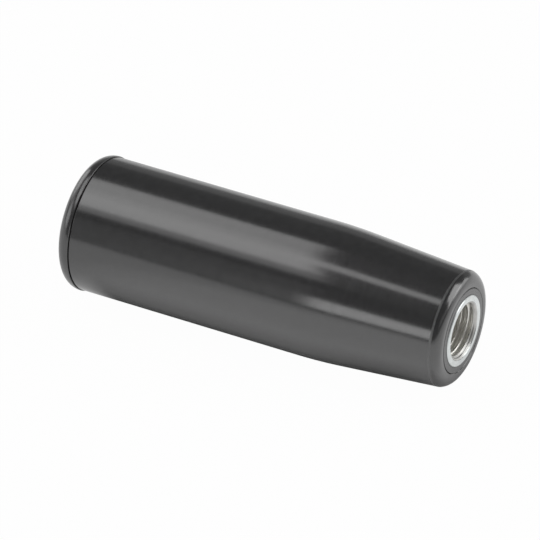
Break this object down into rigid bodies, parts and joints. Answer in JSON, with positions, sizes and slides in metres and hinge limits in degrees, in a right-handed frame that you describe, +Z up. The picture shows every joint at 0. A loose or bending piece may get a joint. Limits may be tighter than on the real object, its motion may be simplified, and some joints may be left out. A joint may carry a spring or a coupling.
{
  "type": "revolving machine handle",
  "caption": "Cylindrical black machine handle with a tapered nose that turns freely on a zinc-plated steel spindle with an internal thread.",
  "frame": {"origin": "centre of the spindle's seating face, which clamps against the lever or handwheel", "axes": "+X along the turning axis, out of the threaded end, the way the fixing stud leaves; +Z up, with the handle lying level as it is pictured"},
  "size_m": [0.0852, 0.0284, 0.0284],
  "materials": {
    "grip": "polished black thermoset moulding",
    "end_cap": "polished black moulding",
    "spindle": "turned steel, bright zinc plate",
    "bush": "dark grey bearing polymer, low sheen",
    "washer": "stamped steel, zinc plate",
    "spring_steel": "dark phosphated spring steel"
  },
  "bodies": {
    "spindle": {"spindle": "spindle", "thrust_washer": "washer", "retaining_ring": "spring_steel"},
    "grip": {"grip": "grip", "front_bush": "bush", "rear_bush": "bush", "end_cap": "end_cap"}
  },
  "joints": [
    {"name": "grip_spin", "type": "hinge", "parent": "spindle", "child": "grip", "pos_m": [0, 0, 0], "axis": [1, 0, 0], "continuous": true}
  ]
}
